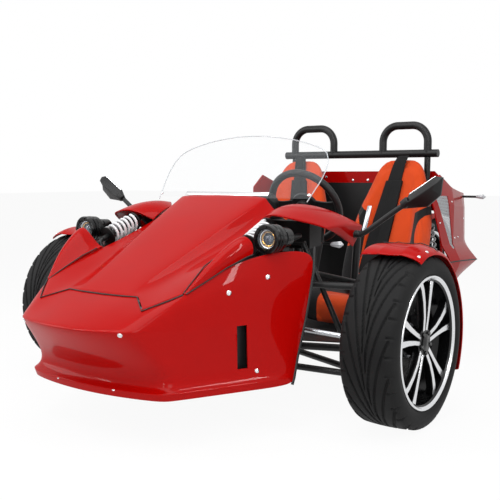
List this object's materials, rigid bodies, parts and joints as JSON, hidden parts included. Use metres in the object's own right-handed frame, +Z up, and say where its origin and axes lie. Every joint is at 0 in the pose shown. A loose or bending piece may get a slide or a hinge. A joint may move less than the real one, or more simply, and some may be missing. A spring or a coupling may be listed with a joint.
{
  "type": "three-wheeled roadster",
  "caption": "Open side-by-side two-seat roadster with steered front wheels under cycle fenders, one driven rear wheel, raked screen, roll hoops and wedge nose.",
  "frame": {"origin": "on the ground under the middle of the car's bounding box", "axes": "forward is -Y, the car's own left is +X, up is +Z"},
  "size_m": [1.778, 3.05, 1.1209],
  "materials": {
    "body_red": "high gloss red",
    "frame_black": "satin black powder coat",
    "trim_black": "grained black",
    "tyre": "black rubber",
    "wheel_alloy": "gloss black with machined faces",
    "steel": "machined steel",
    "seat_fabric": "orange and black upholstery",
    "clear_screen": "clear sheet",
    "lamp_glass": "clear lens",
    "signal_plastic": "clear moulded plastic",
    "lamp_red": "red lens",
    "spring_white": "white paint",
    "mesh_steel": "perforated sheet",
    "engine_cast": "cast grey"
  },
  "bodies": {
    "chassis": {"bonnet": "body_red", "bulkhead": "trim_black", "cowl_wings": "body_red", "dampers": "frame_black", "dashboard": "trim_black", "engine": "engine_cast", "exhaust": "frame_black", "floor_pan": "trim_black", "frame_floor": "frame_black", "frame_front": "frame_black", "frame_rear": "frame_black", "headlamps": "trim_black", "intake_meshes": "mesh_steel", "lamp_lenses": "lamp_glass", "lower_arms": "frame_black", "mirrors": "trim_black", "nose_shell": "body_red", "push_links": "frame_black", "rack_housing": "frame_black", "rear_fascia": "body_red", "rear_mudguard": "body_red", "roll_hoops": "frame_black", "seat_left": "seat_fabric", "seat_right": "seat_fabric", "shock_fairings": "body_red", "side_pod_left": "body_red", "side_pod_right": "body_red", "springs": "spring_white", "steering_column": "frame_black", "swing_arm": "frame_black", "tail_cover": "body_red", "tail_lamps": "lamp_red", "turn_signals": "signal_plastic", "upper_arms": "frame_black", "windscreen": "clear_screen"},
    "wheel_front_left": {"tyre_front_left": "tyre", "rim_front_left": "wheel_alloy", "disc_front_left": "steel"},
    "wheel_front_right": {"tyre_front_right": "tyre", "rim_front_right": "wheel_alloy", "disc_front_right": "steel"},
    "wheel_rear": {"tyre_rear": "tyre", "rim_rear": "wheel_alloy", "disc_rear": "steel"},
    "knuckle_left": {"knuckle_left": "frame_black", "fender_left": "body_red"},
    "knuckle_right": {"knuckle_right": "frame_black", "fender_right": "body_red"},
    "rack": {"steering_rack": "steel"},
    "hand_wheel": {"steering_wheel": "trim_black"}
  },
  "joints": [
    {"name": "steer_left", "type": "hinge", "parent": "chassis", "child": "knuckle_left", "pos_m": [0.69, -0.675, 0.298], "axis": [0, 0, 1], "range_deg": [-25, 25]},
    {"name": "steer_right", "type": "hinge", "parent": "chassis", "child": "knuckle_right", "pos_m": [-0.69, -0.675, 0.298], "axis": [0, 0, 1], "range_deg": [-25, 25]},
    {"name": "rack_slide", "type": "slide", "parent": "chassis", "child": "rack", "axis": [1, 0, 0], "range_m": [-0.049, 0.049]},
    {"name": "hand_wheel_turn", "type": "hinge", "parent": "chassis", "child": "hand_wheel", "pos_m": [0.262, -0.47, 0.735], "axis": [0, 0.891, 0.454], "range_deg": [-151, 151]},
    {"name": "spin_front_left", "type": "hinge", "parent": "knuckle_left", "child": "wheel_front_left", "pos_m": [0.785, -0.675, 0.298], "axis": [1, 0, 0], "continuous": true},
    {"name": "spin_front_right", "type": "hinge", "parent": "knuckle_right", "child": "wheel_front_right", "pos_m": [-0.785, -0.675, 0.298], "axis": [1, 0, 0], "continuous": true},
    {"name": "spin_rear", "type": "hinge", "parent": "chassis", "child": "wheel_rear", "pos_m": [0, 1.195, 0.31], "axis": [1, 0, 0], "continuous": true}
  ],
  "couplings": [
    {"joint": "steer_right", "follows": "steer_left", "ratio": 1},
    {"joint": "rack_slide", "follows": "steer_left", "m_per_rad": 0.11},
    {"joint": "hand_wheel_turn", "follows": "steer_left", "ratio": 6}
  ]
}
